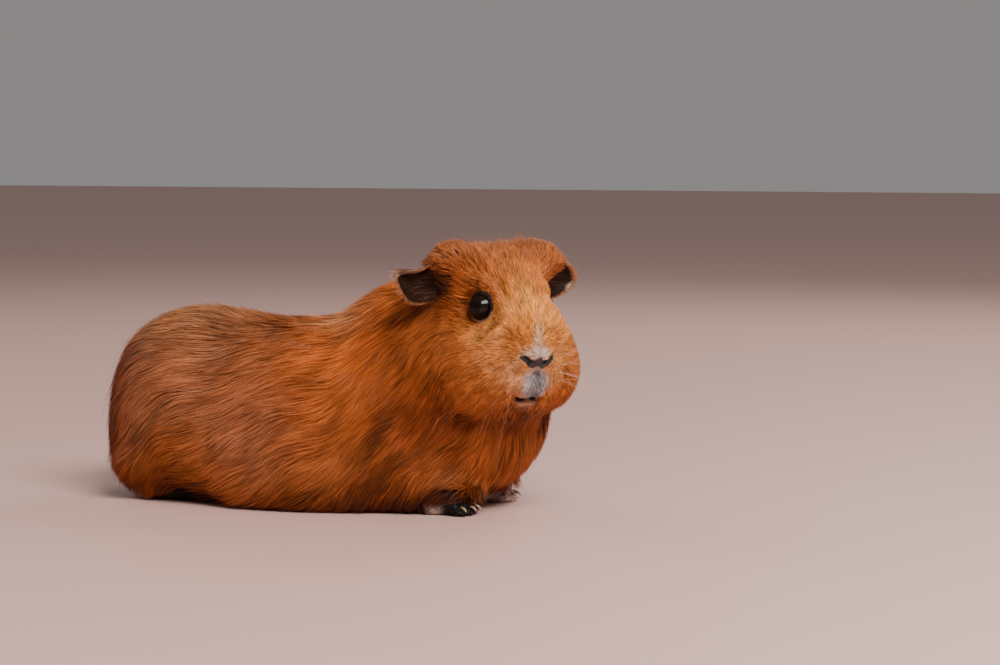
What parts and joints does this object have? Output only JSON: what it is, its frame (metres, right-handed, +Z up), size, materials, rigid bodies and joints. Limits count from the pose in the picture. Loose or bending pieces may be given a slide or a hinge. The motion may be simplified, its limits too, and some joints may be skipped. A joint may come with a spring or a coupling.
{
  "type": "guinea pig",
  "caption": "Life-size still model of a young smooth-coated ginger guinea pig, crouching on the floor with its head raised and turned to its right.",
  "frame": {"origin": "on the floor under the belly, in the middle plane of the body", "axes": "+X forward along the body from rump to breast, +Y to the animal's left, +Z up. The head is turned about 34 degrees to the animal's right, towards -Y."},
  "size_m": [0.2067, 0.0902, 0.1063],
  "materials": {
    "coat": "soft, medium-short ginger hair with a silky sheen",
    "ear_skin": "thin bare dark skin with fine hairs at the rim",
    "eye": "wet, very dark brown, glossy",
    "paw_skin": "short hair over dark and pink skin",
    "claw": "translucent horn, slightly glossy"
  },
  "bodies": {
    "root": {"head": "coat", "neck": "coat", "trunk": "coat", "foreleg_left": "coat", "foreleg_right": "coat", "hindleg_left": "coat", "hindleg_right": "coat", "ear_left": "ear_skin", "ear_right": "ear_skin", "eye_left": "eye", "eye_right": "eye", "forefoot_left": "paw_skin", "forefoot_right": "paw_skin", "hindfoot_left": "paw_skin", "hindfoot_right": "paw_skin", "claw_forefoot_left_1": "claw", "claw_forefoot_left_2": "claw", "claw_forefoot_left_3": "claw", "claw_forefoot_left_4": "claw", "claw_forefoot_right_1": "claw", "claw_forefoot_right_2": "claw", "claw_forefoot_right_3": "claw", "claw_forefoot_right_4": "claw", "claw_hindfoot_left_1": "claw", "claw_hindfoot_left_2": "claw", "claw_hindfoot_left_3": "claw", "claw_hindfoot_right_1": "claw", "claw_hindfoot_right_2": "claw", "claw_hindfoot_right_3": "claw"}
  },
  "joints": []
}
